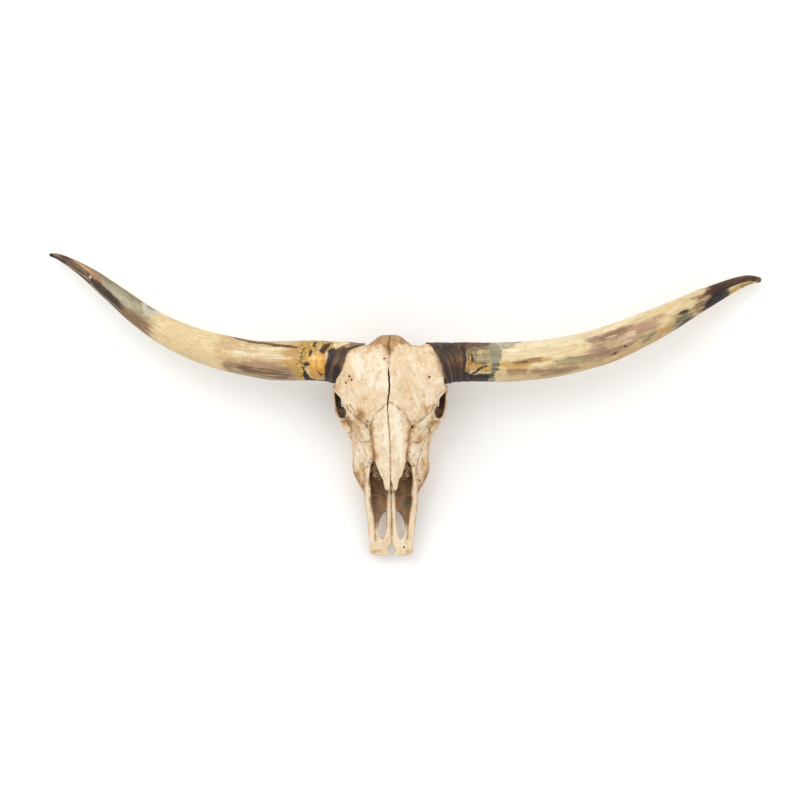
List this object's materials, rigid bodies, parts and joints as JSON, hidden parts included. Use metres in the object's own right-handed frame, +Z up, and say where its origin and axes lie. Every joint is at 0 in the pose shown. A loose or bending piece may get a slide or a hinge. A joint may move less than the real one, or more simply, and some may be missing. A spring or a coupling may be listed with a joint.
{
  "type": "longhorn steer skull",
  "caption": "Longhorn steer skull without its lower jaw, lying face up on its cheek teeth, with bony horn cores inside long horn sheaths that sweep outward to fine tips.",
  "frame": {"origin": "on the floor under the middle of the bounding box", "axes": "+X towards the animal's own left, +Y from the muzzle towards the poll, +Z up from the floor, out of the forehead"},
  "size_m": [1.5894, 0.669, 0.212],
  "materials": {
    "bone": "dry, sun-bleached bone, matt, with tan stains and dark cracks",
    "horn": "worn natural horn, satin, straw coloured with dark bases and tips"
  },
  "bodies": {
    "root": {"cranium": "bone", "zygomatic_left": "bone", "nasal_left": "bone", "frontal_left": "bone", "lacrimal_left": "bone", "incisive_left": "bone", "maxilla_left": "bone", "zygomatic_right": "bone", "nasal_right": "bone", "frontal_right": "bone", "lacrimal_right": "bone", "incisive_right": "bone", "maxilla_right": "bone", "horn_left": "horn", "horn_right": "horn"}
  },
  "joints": []
}
